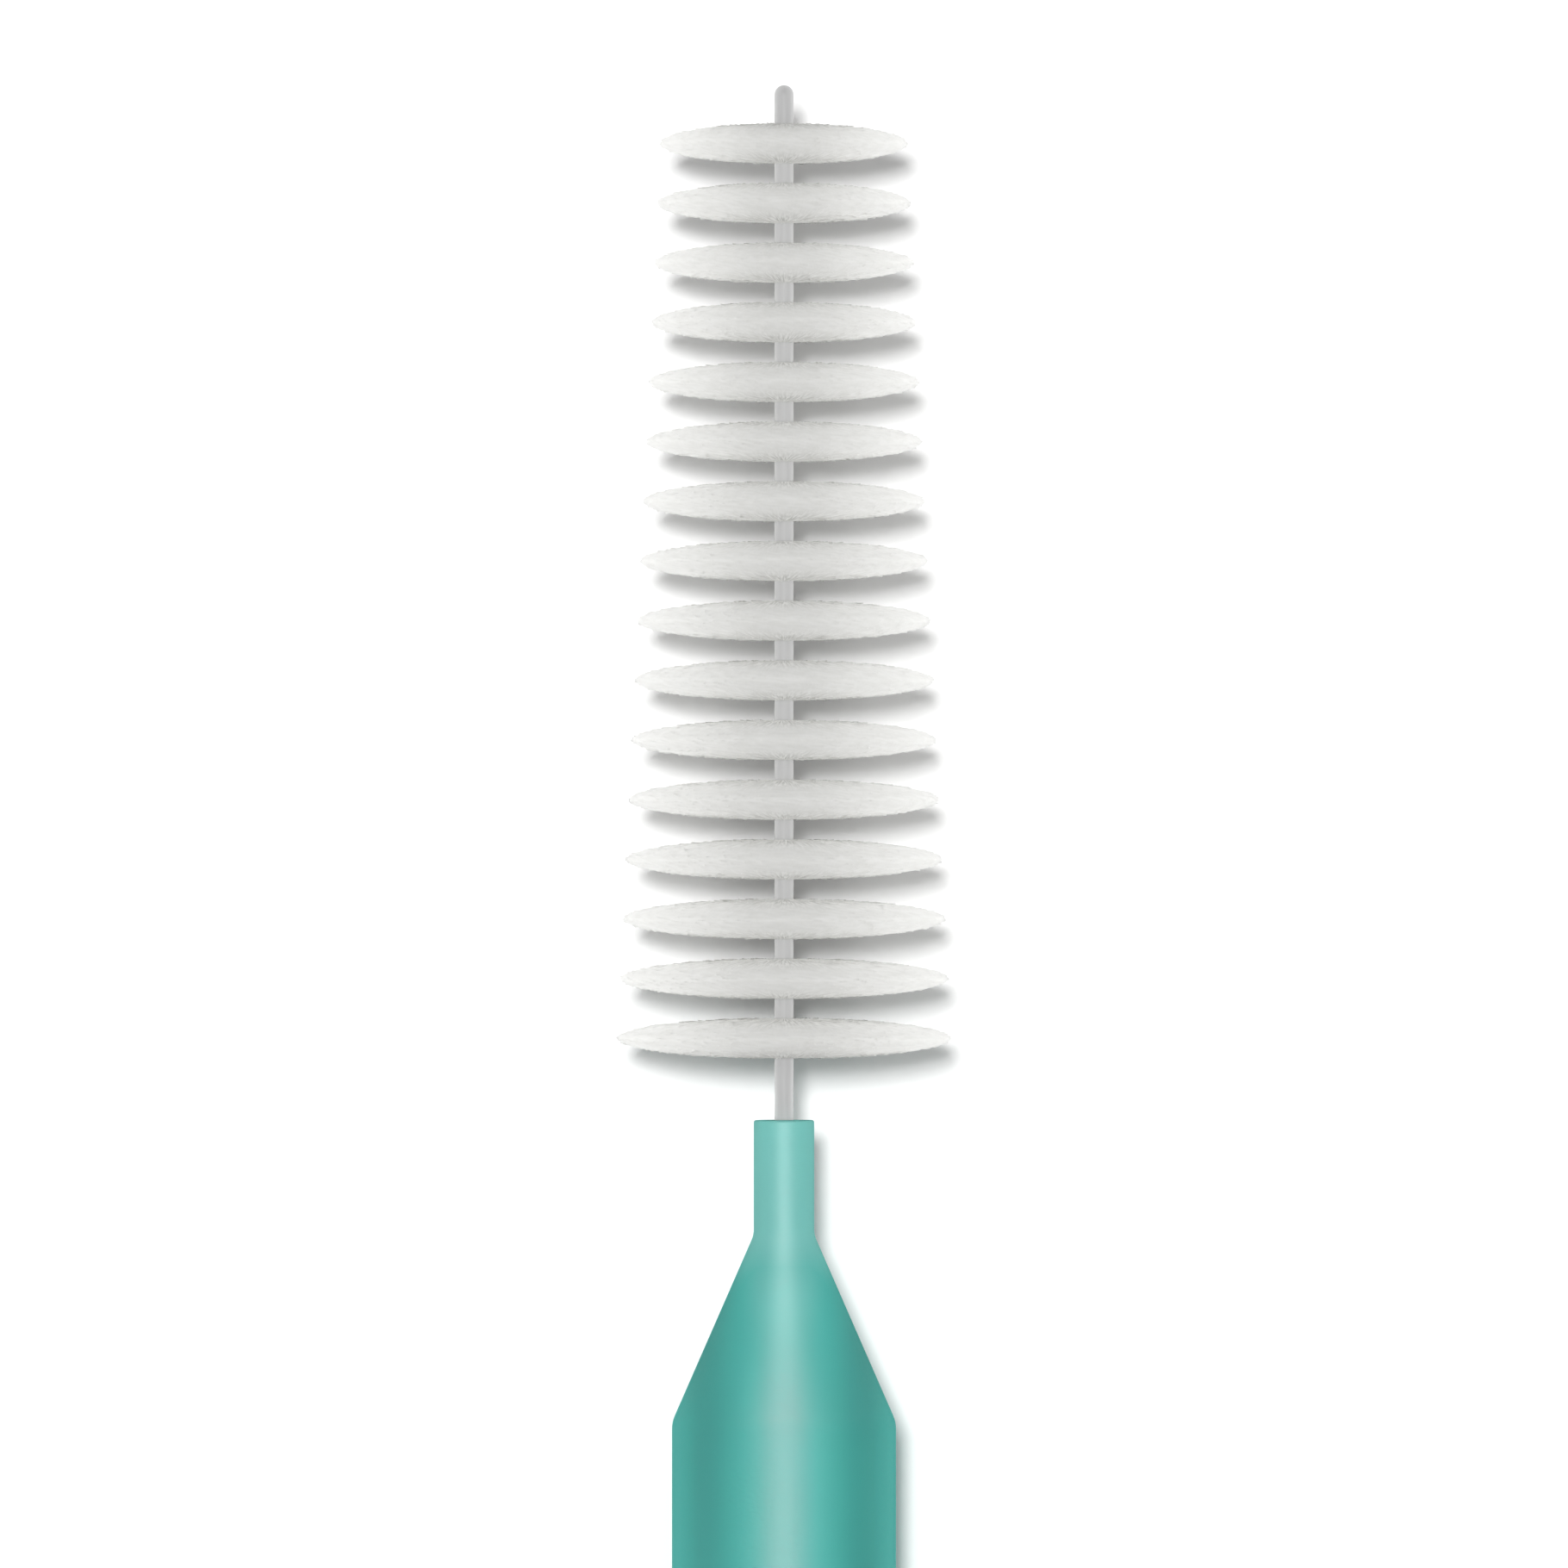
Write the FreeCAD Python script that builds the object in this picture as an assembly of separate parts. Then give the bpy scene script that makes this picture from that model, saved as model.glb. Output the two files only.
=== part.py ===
import FreeCAD, Part
import math
import os

# Interdental brush, lying on its grip. Lengths are in millimetres and angles in degrees.
# +Y runs along the brush towards its tip, +Z is up, and the grip's lower flat lies on z = 0.

# Bristle tiers: each is a whorl of nylon filaments with a lens-shaped outline
tier_count = 16
tier_pitch = 1.065
tier_thickness = 0.72
base_tier_diameter = 6.0
tip_tier_diameter = 4.45
tier_clearance = 0.01

# Wire: one steel strand folded at the tip, with its two legs twisted together
strand_diameter = 0.12
strand_gap = 0.01
twist_pitch = 2.13
fold_ease_length = 0.35
anchor_length = 14.0

# Coating: a smooth plastic skin over the twisted wire, closed and rounded at the tip
coating_wall = 0.04
coating_clearance = 0.005
coating_insert_length = 3.0
neck_length = 1.10
tip_length = 0.685

# Handle: one moulding, from the thin collar that grips the wire to the domed tail
collar_diameter = 1.08
collar_length = 2.05
collar_edge_radius = 0.05
cone_length = 3.34
shank_diameter = 4.0
shank_length = 9.0
shoulder_length = 2.2
cap_clearance = 0.15
cap_seat_length = 5.0
table_clearance = 0.2
flat_depth = 0.6
grip_length = 27.0
grip_edge_radius = 0.3
tail_crown_radius = 6.0
tail_edge_radius = 1.8
wire_bore_clearance = 0.01

# Thumb slots: round-ended recesses across both flats of the grip
slot_count = 9
slot_pitch = 1.7
slot_width = 0.9
slot_depth = 0.35
slot_land = 0.55
first_slot_distance = 3.2

# One overrun for all cuts
cut_overrun = 1.0

# Sizes of mating pieces that follow from the values above
leg_offset = (strand_diameter + strand_gap) / 2
twisted_radius = leg_offset + strand_diameter / 2
coating_bore_radius = twisted_radius + coating_clearance
coating_radius = coating_bore_radius + coating_wall
tier_bore_radius = coating_radius + tier_clearance
collar_radius = collar_diameter / 2
shank_radius = shank_diameter / 2
cap_seat_radius = base_tier_diameter / 2 + cap_clearance
axis_height = base_tier_diameter / 2 + table_clearance
grip_thickness = 2 * axis_height
grip_radius = axis_height + flat_depth
flat_width = 2 * math.sqrt(grip_radius**2 - axis_height**2)
slot_length = flat_width - 2 * slot_land

# Stations along the brush, from the tail to the tip, with y = 0 at half its length
handle_length = (
    grip_length + cap_seat_length + shoulder_length + shank_length + cone_length + collar_length
)
bristle_length = (tier_count - 1) * tier_pitch + tier_thickness
total_length = handle_length + neck_length + bristle_length + tip_length
tail_y = -total_length / 2
grip_end_y = tail_y + grip_length
seat_end_y = grip_end_y + cap_seat_length
shank_start_y = seat_end_y + shoulder_length
cone_start_y = shank_start_y + shank_length
collar_start_y = cone_start_y + cone_length
mouth_y = collar_start_y + collar_length
first_tier_y = mouth_y + neck_length + tier_thickness / 2
tip_y = total_length / 2
tip_dome_y = tip_y - coating_radius

axis_point = FreeCAD.Vector(0, 0, axis_height)
axis_direction = FreeCAD.Vector(0, 1, 0)


def at(radius, along):
    """A point of a half section: its distance from the brush's axis and its place along it."""
    return FreeCAD.Vector(radius, along, axis_height)


def line(start, end):
    return Part.LineSegment(start, end).toShape()


def arc(start, middle, end):
    return Part.Arc(start, middle, end).toShape()


def quarter_arc(start, corner, end):
    """The quarter circle that rounds a square corner between two points at equal distances from it."""
    centre = start + end - corner
    middle = centre + (corner - centre) * math.sqrt(0.5)
    return arc(start, middle, end)


def ellipse_arc(centre, across, along, start_angle, end_angle):
    """Part of an ellipse in a half section, with angle 0 at its outermost point."""
    outermost = centre + FreeCAD.Vector(across, 0, 0)
    foremost = centre + axis_direction * along
    ellipse = Part.Ellipse(outermost, foremost, centre)
    return Part.ArcOfEllipse(ellipse, math.radians(start_angle), math.radians(end_angle)).toShape()


def turned(edges):
    """The solid that a closed half section sweeps in one turn about the brush's axis."""
    section = Part.Face(Part.Wire(edges))
    return section.revolve(axis_point, axis_direction, 360)


def turned_pin(radius, start_y, end_y):
    return Part.makeCylinder(radius, end_y - start_y, at(0, start_y), axis_direction)


def domed_tail():
    """The tail's shallow crown and its rounded edge, and the point where the grip's side starts."""
    crown_centre = at(0, tail_y + tail_crown_radius)
    edge_out = grip_radius - tail_edge_radius
    between = tail_crown_radius - tail_edge_radius
    edge_centre = crown_centre + at(edge_out, -math.sqrt(between**2 - edge_out**2)) - axis_point
    meeting_angle = math.asin(edge_out / between)
    crown_middle = towards_tail(crown_centre, tail_crown_radius, meeting_angle / 2)
    meeting = towards_tail(crown_centre, tail_crown_radius, meeting_angle)
    edge_middle = towards_tail(edge_centre, tail_edge_radius, (meeting_angle + math.pi / 2) / 2)
    side = towards_tail(edge_centre, tail_edge_radius, math.pi / 2)
    crown = arc(at(0, tail_y), crown_middle, meeting)
    edge = arc(meeting, edge_middle, side)
    return [crown, edge], side


def towards_tail(centre, radius, angle):
    """A point on a circle of the half section, at an angle from the direction of the tail."""
    return centre + FreeCAD.Vector(radius * math.sin(angle), -radius * math.cos(angle), 0)


def handle_blank():
    """The handle as turned about its axis, before the flats, the slots and the wire's bore."""
    grip_side = at(grip_radius, grip_end_y - grip_edge_radius)
    grip_corner = at(grip_radius, grip_end_y)
    grip_face = at(grip_radius - grip_edge_radius, grip_end_y)
    mouth_side = at(collar_radius, mouth_y - collar_edge_radius)
    mouth_corner = at(collar_radius, mouth_y)
    mouth_face = at(collar_radius - collar_edge_radius, mouth_y)
    tail_edges, tail_side = domed_tail()
    edges = tail_edges + [
        line(tail_side, grip_side),
        quarter_arc(grip_side, grip_corner, grip_face),
        line(grip_face, at(cap_seat_radius, grip_end_y)),
        line(at(cap_seat_radius, grip_end_y), at(cap_seat_radius, seat_end_y)),
        line(at(cap_seat_radius, seat_end_y), at(shank_radius, shank_start_y)),
        line(at(shank_radius, shank_start_y), at(shank_radius, cone_start_y)),
        line(at(shank_radius, cone_start_y), at(collar_radius, collar_start_y)),
        line(at(collar_radius, collar_start_y), mouth_side),
        quarter_arc(mouth_side, mouth_corner, mouth_face),
        line(mouth_face, at(0, mouth_y)),
        line(at(0, mouth_y), at(0, tail_y)),
    ]
    return turned(edges)


def flats_slab():
    """The slab between the two flats, as long and wide as the turned handle."""
    corner = FreeCAD.Vector(-grip_radius - cut_overrun, tail_y - cut_overrun, 0)
    width = 2 * (grip_radius + cut_overrun)
    length = handle_length + 2 * cut_overrun
    return Part.makeBox(width, length, grip_thickness, corner)


def thumb_slot(slot_y, floor_z):
    """A round-ended cutter across the grip, as high as a slot is deep plus the overrun."""
    end_radius = slot_width / 2
    end_x = slot_length / 2 - end_radius
    front_y = slot_y + end_radius
    back_y = slot_y - end_radius
    back_left = FreeCAD.Vector(-end_x, back_y, floor_z)
    back_right = FreeCAD.Vector(end_x, back_y, floor_z)
    right_end = FreeCAD.Vector(slot_length / 2, slot_y, floor_z)
    front_right = FreeCAD.Vector(end_x, front_y, floor_z)
    front_left = FreeCAD.Vector(-end_x, front_y, floor_z)
    left_end = FreeCAD.Vector(-slot_length / 2, slot_y, floor_z)
    outline = Part.Wire(
        [
            line(back_left, back_right),
            arc(back_right, right_end, front_right),
            line(front_right, front_left),
            arc(front_left, left_end, back_left),
        ]
    )
    return Part.Face(outline).extrude(FreeCAD.Vector(0, 0, slot_depth + cut_overrun))


def thumb_slots():
    """The cutters of all slots, in both flats, counted from the front of the grip."""
    slots = []
    for number in range(slot_count):
        slot_y = grip_end_y - first_slot_distance - number * slot_pitch
        slots.append(thumb_slot(slot_y, grip_thickness - slot_depth))
        slots.append(thumb_slot(slot_y, -cut_overrun))
    return slots


def wire_bore():
    """The stepped hole that the coated neck and the bare twisted wire are moulded into."""
    coated_radius = coating_radius + wire_bore_clearance
    bare_radius = twisted_radius + wire_bore_clearance
    step_y = mouth_y - coating_insert_length - wire_bore_clearance
    end_y = mouth_y - anchor_length - strand_diameter / 2
    coated = turned_pin(coated_radius, step_y, mouth_y + cut_overrun)
    bare = turned_pin(bare_radius, end_y, mouth_y)
    return coated.fuse(bare)


def handle():
    return handle_blank().common(flats_slab()).cut(thumb_slots() + [wire_bore()])


def biarc(start, start_tangent, end, end_tangent):
    """Two arcs that leave the start and reach the end along the given unit tangents."""
    span = end - start
    tangents = start_tangent + end_tangent
    spread = 2 * (1 - start_tangent.dot(end_tangent))
    advance = span.dot(tangents)
    tangent_length = (math.sqrt(advance**2 + spread * span.dot(span)) - advance) / spread
    first_corner = start + start_tangent * tangent_length
    second_corner = end - end_tangent * tangent_length
    meeting = (first_corner + second_corner) * 0.5
    return [
        corner_arc(start, first_corner, meeting, tangent_length),
        corner_arc(meeting, second_corner, end, tangent_length),
    ]


def corner_arc(start, corner, end, tangent_length):
    """The arc that touches both lines of a corner, at one tangent length from it."""
    chord_middle = (start + end) * 0.5
    half_chord = (end - start).Length / 2
    rise = (corner - chord_middle) * (half_chord / (tangent_length + half_chord))
    return arc(start, chord_middle + rise, end)


def around_axis(turn, radius, along):
    """A point at an angle about the brush's axis, counted from +X towards -Z."""
    angle = math.radians(turn)
    return FreeCAD.Vector(radius * math.cos(angle), along, axis_height - radius * math.sin(angle))


def leg_stations():
    """Points and unit tangents of one leg, from its cut end in the handle to the fold at the tip."""
    start_y = mouth_y - anchor_length
    twisted_length = tip_dome_y - fold_ease_length - start_y
    quarter_turns = math.ceil(4 * twisted_length / twist_pitch)
    quarter_length = twisted_length / quarter_turns
    rise_rate = 4 * quarter_length / (2 * math.pi * leg_offset)
    stations = []
    for number in range(quarter_turns + 1):
        turn = 90 * number
        point = around_axis(turn, leg_offset, start_y + number * quarter_length)
        sideways = around_axis(turn + 90, leg_offset, 0) - axis_point
        tangent = sideways / leg_offset + axis_direction * rise_rate
        stations.append((point, tangent.normalize()))
    ease_turn = 90 * fold_ease_length / quarter_length / 2
    fold_point = around_axis(90 * quarter_turns + ease_turn, leg_offset, tip_dome_y)
    stations.append((fold_point, FreeCAD.Vector(axis_direction)))
    return stations


def opposite(vector, centre):
    """The vector turned by half a turn about the brush's axis through the centre."""
    return FreeCAD.Vector(2 * centre.x - vector.x, vector.y, 2 * centre.z - vector.z)


def leg_edges(stations):
    """The arcs of one leg, two between each station and the next."""
    edges = []
    for (start, start_tangent), (end, end_tangent) in zip(stations, stations[1:]):
        edges += biarc(start, start_tangent, end, end_tangent)
    return edges


def core_wire():
    """Up one leg, round the fold and down the other, with a round section swept along."""
    rising = leg_stations()
    falling = []
    for point, tangent in reversed(rising):
        falling.append((opposite(point, axis_point), opposite(tangent, FreeCAD.Vector()) * -1))
    fold = arc(rising[-1][0], at(0, tip_dome_y + leg_offset), falling[0][0])
    path = Part.Wire(leg_edges(rising) + [fold] + leg_edges(falling))
    first_point, first_tangent = rising[0]
    section = Part.Wire([Part.Circle(first_point, first_tangent, strand_diameter / 2).toShape()])
    wire = path.makePipeShell([section], True, False)
    drawn_volume = math.pi * strand_diameter**2 / 4 * path.Length
    print(f"core wire: {path.Length:.2f} mm of strand, volume ratio {wire.Volume / drawn_volume:.4f}")
    return wire


def wire_coating():
    """A thin tube from inside the collar to the rounded tip, closed over the wire's fold."""
    start_y = mouth_y - coating_insert_length
    diagonal = math.sqrt(0.5)
    edges = [
        line(at(coating_bore_radius, start_y), at(coating_radius, start_y)),
        line(at(coating_radius, start_y), at(coating_radius, tip_dome_y)),
        arc(
            at(coating_radius, tip_dome_y),
            at(coating_radius * diagonal, tip_dome_y + coating_radius * diagonal),
            at(0, tip_y),
        ),
        line(at(0, tip_y), at(0, tip_dome_y + coating_bore_radius)),
        arc(
            at(0, tip_dome_y + coating_bore_radius),
            at(coating_bore_radius * diagonal, tip_dome_y + coating_bore_radius * diagonal),
            at(coating_bore_radius, tip_dome_y),
        ),
        line(at(coating_bore_radius, tip_dome_y), at(coating_bore_radius, start_y)),
    ]
    return turned(edges)


def bristle_tier(number):
    """One lens of filaments, counted from the handle, with a hole for the coated wire."""
    along_share = number / (tier_count - 1)
    narrowing = (base_tier_diameter - tip_tier_diameter) * along_share
    radius = (base_tier_diameter - narrowing) / 2
    centre = at(0, first_tier_y + number * tier_pitch)
    hole_angle = math.degrees(math.acos(tier_bore_radius / radius))
    outline = ellipse_arc(centre, radius, tier_thickness / 2, -hole_angle, hole_angle)
    back = outline.valueAt(outline.FirstParameter)
    front = outline.valueAt(outline.LastParameter)
    return turned([outline, line(front, back)])


def main():
    os.makedirs("parts", exist_ok=True)
    nodes = {"handle": handle(), "core_wire": core_wire(), "wire_coating": wire_coating()}
    for number in range(tier_count):
        nodes[f"bristle_tier_{number + 1:02d}"] = bristle_tier(number)
    for name, shape in nodes.items():
        shape.exportStep(f"parts/{name}.step")
        print(f"{name}: {len(shape.Solids)} solid, {shape.Volume:.4f} mm3, valid {shape.isValid()}")
    print(f"total length {total_length:.3f}, collar mouth at y = {mouth_y:.4f}")
    print(f"cap seat from y = {grip_end_y:.4f} to {seat_end_y:.4f}, radius {cap_seat_radius:.3f}")
    print(f"axis height {axis_height:.3f}, neck middle at y = {mouth_y + neck_length / 2:.4f}")


main()
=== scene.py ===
# %% [markdown]
# # An interdental brush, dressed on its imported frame
# The brush is one steel strand, folded and twisted, under a thin grey plastic coat. Sixteen whorls of
# nylon bristles stand on it, and a teal moulded handle holds it. The frame fixes every size and place.
# This lesson rebuilds each piece as a smooth mesh on the frame's own sizes and gives it a real finish.

# %% Load the frame
import math
import bpy
import numpy as np
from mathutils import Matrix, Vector


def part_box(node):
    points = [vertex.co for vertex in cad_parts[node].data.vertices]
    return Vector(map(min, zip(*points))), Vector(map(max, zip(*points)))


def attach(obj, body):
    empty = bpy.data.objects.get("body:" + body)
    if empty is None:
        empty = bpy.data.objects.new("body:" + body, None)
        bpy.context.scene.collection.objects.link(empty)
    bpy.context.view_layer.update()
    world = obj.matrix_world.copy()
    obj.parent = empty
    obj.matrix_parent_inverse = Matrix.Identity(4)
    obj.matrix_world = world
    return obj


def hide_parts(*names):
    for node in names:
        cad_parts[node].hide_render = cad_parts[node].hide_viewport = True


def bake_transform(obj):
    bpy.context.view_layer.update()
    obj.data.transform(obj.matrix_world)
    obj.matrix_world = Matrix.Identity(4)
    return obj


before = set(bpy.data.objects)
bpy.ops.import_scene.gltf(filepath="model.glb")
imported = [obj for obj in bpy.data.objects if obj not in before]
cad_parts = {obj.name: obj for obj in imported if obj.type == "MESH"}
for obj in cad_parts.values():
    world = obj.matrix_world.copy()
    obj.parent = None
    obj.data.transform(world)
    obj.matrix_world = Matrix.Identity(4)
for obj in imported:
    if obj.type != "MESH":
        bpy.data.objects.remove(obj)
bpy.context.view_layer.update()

scene = bpy.context.scene
scene.view_settings.view_transform = "Standard"

# %% [markdown]
# ## Where things are
# All pieces share one axis along +Y, so a few stations along it say where everything goes. They are read
# from the frame: the coated wire gives the axis and the tip, the handle gives the mouth and the tail.

# %% Stations along the brush
MM = 0.001
coat_low, coat_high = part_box("wire_coating")
handle_low, handle_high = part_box("handle")
axis_height = (coat_low.z + coat_high.z) / 2
coat_radius = (coat_high.x - coat_low.x) / 2
tip_y = coat_high.y
mouth_y = handle_high.y
tail_y = handle_low.y
print(f"axis {axis_height / MM:.2f} mm up, mouth at {mouth_y / MM:.3f}, tip at {tip_y / MM:.3f}")

# %% [markdown]
# ## The camera
# The picture looks straight down on the brush, which points to the top of the frame. A long lens from far
# away shows all the whorls edge on, with next to no perspective, and a real camera still keeps its place
# when the view moves to another side.

# %% Camera above the bristles
frame_width = 28.0 * MM
frame_centre_beyond_mouth = 6.0 * MM
camera_data = bpy.data.cameras.new("camera")
camera_data.lens = 500
camera_data.sensor_width = 36
camera_distance = frame_width * camera_data.lens / camera_data.sensor_width
camera_data.clip_start = 0.01
camera = bpy.data.objects.new("camera", camera_data)
camera.location = (0, mouth_y + frame_centre_beyond_mouth, axis_height + camera_distance)
scene.collection.objects.link(camera)
scene.camera = camera
print(f"camera {camera_distance / MM:.1f} mm above the axis")

# %% [markdown]
# ## Two helpers for nodes
# Shader trees and Geometry Nodes trees are built the same way: add a node, set its options, fill or link
# its inputs. One small function does that for both. Colours are written as sRGB hex values, as a paint
# chart gives them, and a second function turns them into the linear values that shaders use.

# %% Helpers for colours and nodes
# A noise node mostly stays between these two values.
NOISE_LOW, NOISE_HIGH = 0.3, 0.7


def linear(hex_colour):
    """The linear RGBA of an sRGB hex colour."""
    channels = [int(hex_colour[start:start + 2], 16) / 255 for start in (1, 3, 5)]
    return [c / 12.92 if c <= 0.04045 else ((c + 0.055) / 1.055) ** 2.4 for c in channels] + [1.0]


def add_node(tree, kind, inputs=None, **settings):
    """A new node with its options set. An input is a value, a socket, or a node (its first output)."""
    node = tree.nodes.new(kind)
    for name, value in settings.items():
        setattr(node, name, value)
    for key, value in (inputs or {}).items():
        if isinstance(value, bpy.types.Node):
            value = value.outputs[0]
        if isinstance(value, bpy.types.NodeSocket):
            tree.links.new(value, node.inputs[key])
        else:
            node.inputs[key].default_value = value
    return node


def new_material(name):
    """An empty material and its node tree."""
    material = bpy.data.materials.new(name)
    material.use_nodes = True
    material.node_tree.nodes.clear()
    return material, material.node_tree

# %% [markdown]
# ## Moulded polypropylene for the handle
# The handle is injection-moulded polypropylene, coloured in the mass. The mould's spark-eroded walls leave
# a fine satin grain, so the light spreads into a soft stripe along the top. The plastic is a little
# translucent, and the light that shines through it where it is thin, around the wire, is painted into the
# colour as a paler teal than in the thick shank. That painted light follows the distance from the axis,
# which Object coordinates give. Painted shade deepens two bands and the crown of the shank.

# %% Material: satin polypropylene
SOFT = {"interpolation_type": "SMOOTHSTEP"}
shank_from_mouth, seat_from_mouth = 14.4 * MM, 16.6 * MM
flow_size = 4 * MM
# Spark-eroded grain is about 0.03 mm; it is drawn at 0.08 mm so that it shows.
grain_size, grain_height = 0.08 * MM, 0.006 * MM

handle_plastic, tree = new_material("satin_moulded_polypropylene")
place = add_node(tree, "ShaderNodeTexCoord")
from_axis = add_node(tree, "ShaderNodeMapping", {
    "Vector": place.outputs["Object"], "Location": (0, 0, -axis_height)})
across = add_node(tree, "ShaderNodeVectorMath", {0: from_axis, 1: (1, 0, 1)}, operation="MULTIPLY")
wall = add_node(tree, "ShaderNodeVectorMath", {0: across}, operation="LENGTH").outputs["Value"]
beside = add_node(tree, "ShaderNodeSeparateXYZ", {0: place.outputs["Object"]})
off_crown = add_node(tree, "ShaderNodeMath", {0: beside.outputs["X"]}, operation="ABSOLUTE")
past_grip = add_node(tree, "ShaderNodeMapRange", {
    0: beside.outputs["Y"], 1: mouth_y - seat_from_mouth, 2: mouth_y - shank_from_mouth}, **SOFT)

# Painted light: paler where the wall round the wire is thin, and a painted highlight a little further down
# along the crown of the cone.
thin_wall = add_node(tree, "ShaderNodeMapRange", {
    0: wall, 1: 0.52 * MM, 2: 1.00 * MM, 3: 1.0, 4: 0.0}, **SOFT)
above_wire = add_node(tree, "ShaderNodeMapRange", {
    0: off_crown, 1: 0.40 * MM, 2: 0.85 * MM, 3: 1.0, 4: 0.0}, **SOFT)
upper_cone = add_node(tree, "ShaderNodeMapRange", {
    0: wall, 1: 0.9 * MM, 2: 1.5 * MM, 3: 0.42, 4: 0.0}, **SOFT)
painted_crown_highlight = add_node(tree, "ShaderNodeMath", {0: above_wire, 1: upper_cone}, operation="MULTIPLY")
paler = add_node(tree, "ShaderNodeMath", {0: thin_wall, 1: painted_crown_highlight}, operation="MAXIMUM")
painted_paleness = add_node(tree, "ShaderNodeMath", {0: paler, 1: past_grip}, operation="MULTIPLY")
# The pale teal, #71BCB5, is painted light for the thin wall and the crown of the upper cone.
body_colour = add_node(tree, "ShaderNodeMix", {
    0: painted_paleness, 6: linear("#46ADA4"), 7: linear("#71BCB5")}, data_type="RGBA")

# Flow of the melt: clouds some millimetres wide, only just lighter and darker.
flow = add_node(tree, "ShaderNodeTexNoise", {
    "Vector": place.outputs["Object"], "Scale": 1 / flow_size, "Detail": 2.0})
flow_shade = add_node(tree, "ShaderNodeMapRange", {0: flow, 1: NOISE_LOW, 2: NOISE_HIGH, 3: 0.96, 4: 1.04})
# Painted shade: on the neck and shank the colour is deeper in two bands, halfway from the crown to the
# parting line.
into_band = add_node(tree, "ShaderNodeMapRange", {0: off_crown, 1: 0.6 * MM, 2: 1.4 * MM}, **SOFT)
out_of_band = add_node(tree, "ShaderNodeMapRange", {0: off_crown, 1: 1.45 * MM, 2: 2.0 * MM}, **SOFT)
painted_shade_bands = add_node(tree, "ShaderNodeMath", {0: into_band, 1: out_of_band}, operation="SUBTRACT")
# Painted shade: the thick shank is a little deeper along its crown too, so that the stripe of light on it
# stays greyish.
on_crown = add_node(tree, "ShaderNodeMapRange", {
    0: off_crown, 1: 0.15 * MM, 2: 0.55 * MM, 3: 1.0, 4: 0.0}, **SOFT)
thick_wall = add_node(tree, "ShaderNodeMapRange", {0: wall, 1: 1.1 * MM, 2: 1.9 * MM}, **SOFT)
crown = add_node(tree, "ShaderNodeMath", {0: on_crown, 1: thick_wall}, operation="MULTIPLY")
flow_and_painted_shade = flow_shade
for deeper, amount in ((painted_shade_bands, -0.26), (crown, -0.17)):
    here = add_node(tree, "ShaderNodeMath", {0: deeper, 1: past_grip}, operation="MULTIPLY")
    flow_and_painted_shade = add_node(tree, "ShaderNodeMath", {0: here, 1: amount, 2: flow_and_painted_shade}, operation="MULTIPLY_ADD")
shaded = add_node(tree, "ShaderNodeVectorMath", {
    0: body_colour.outputs[2], 3: flow_and_painted_shade}, operation="SCALE")

grain = add_node(tree, "ShaderNodeTexNoise", {
    "Vector": place.outputs["Object"], "Scale": 1 / grain_size, "Detail": 3.0})
relief = add_node(tree, "ShaderNodeBump", {"Height": grain, "Strength": 0.25, "Distance": grain_height})
# The slim end fills the mould last and takes its grain more deeply, so the cone and the collar are duller.
# The grip's part of the mould is grained more coarsely, for hold.
gloss = add_node(tree, "ShaderNodeMapRange", {0: grain, 1: NOISE_LOW, 2: NOISE_HIGH, 3: 0.44, 4: 0.52})
slimness = add_node(tree, "ShaderNodeMapRange", {0: wall, 1: 0.5 * MM, 2: 1.9 * MM, 3: 1.0, 4: 0.0})
on_grip = add_node(tree, "ShaderNodeMath", {0: 1.0, 1: past_grip}, operation="SUBTRACT")
for duller, amount in ((slimness, 0.08), (on_grip, 0.25)):
    gloss = add_node(tree, "ShaderNodeMath", {0: duller, 1: amount, 2: gloss}, operation="MULTIPLY_ADD")
# The grain shades itself at grazing angles, so the gloss falls off and the edges keep their deep colour.
grazing = add_node(tree, "ShaderNodeLayerWeight", {"Blend": 0.5})
sheen = add_node(tree, "ShaderNodeMapRange", {
    0: grazing.outputs["Facing"], 1: 0.35, 2: 0.80, 3: 0.12, 4: 0.01})
plastic = add_node(tree, "ShaderNodeBsdfPrincipled", {
    "Base Color": shaded, "Roughness": gloss, "IOR": 1.49, "Specular IOR Level": sheen, "Normal": relief})
add_node(tree, "ShaderNodeOutputMaterial", {"Surface": plastic})

# %% [markdown]
# ## Grey coat, steel and nylon
# The wire's coat is extruded polyurethane, matte and even, with faint streaks along the draw. The strand
# inside is drawn stainless steel, almost all of it hidden. The bristles are nylon: nearly white, with a dull
# shine. No two filaments are quite the same shade, so each carries a number of its own that the material
# reads as an attribute. A second number says how far out from the wire a point is. With it painted shade
# darkens the gaps between the filaments towards the wire.

# %% Material: extruded polyurethane coat
coat_plastic, tree = new_material("extruded_polyurethane_coat")
place = add_node(tree, "ShaderNodeTexCoord")
# Draw streaks: 0.05 mm wide and some millimetres long.
stretched = add_node(tree, "ShaderNodeMapping", {"Vector": place.outputs["Object"], "Scale": (1, 0.04, 1)})
streaks = add_node(tree, "ShaderNodeTexNoise", {
    "Vector": stretched, "Scale": 1 / (0.05 * MM), "Detail": 2.0})
grey = add_node(tree, "ShaderNodeMix", {
    0: streaks, 6: linear("#AEAEAE"), 7: linear("#BABABA")}, data_type="RGBA")
dull = add_node(tree, "ShaderNodeMapRange", {0: streaks, 1: NOISE_LOW, 2: NOISE_HIGH, 3: 0.48, 4: 0.60})
ridges = add_node(tree, "ShaderNodeBump", {"Height": streaks, "Strength": 0.2, "Distance": 0.004 * MM})
plastic = add_node(tree, "ShaderNodeBsdfPrincipled", {
    "Base Color": grey.outputs[2], "Roughness": dull, "IOR": 1.5, "Diffuse Roughness": 1.0,
    "Normal": ridges})
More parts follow.
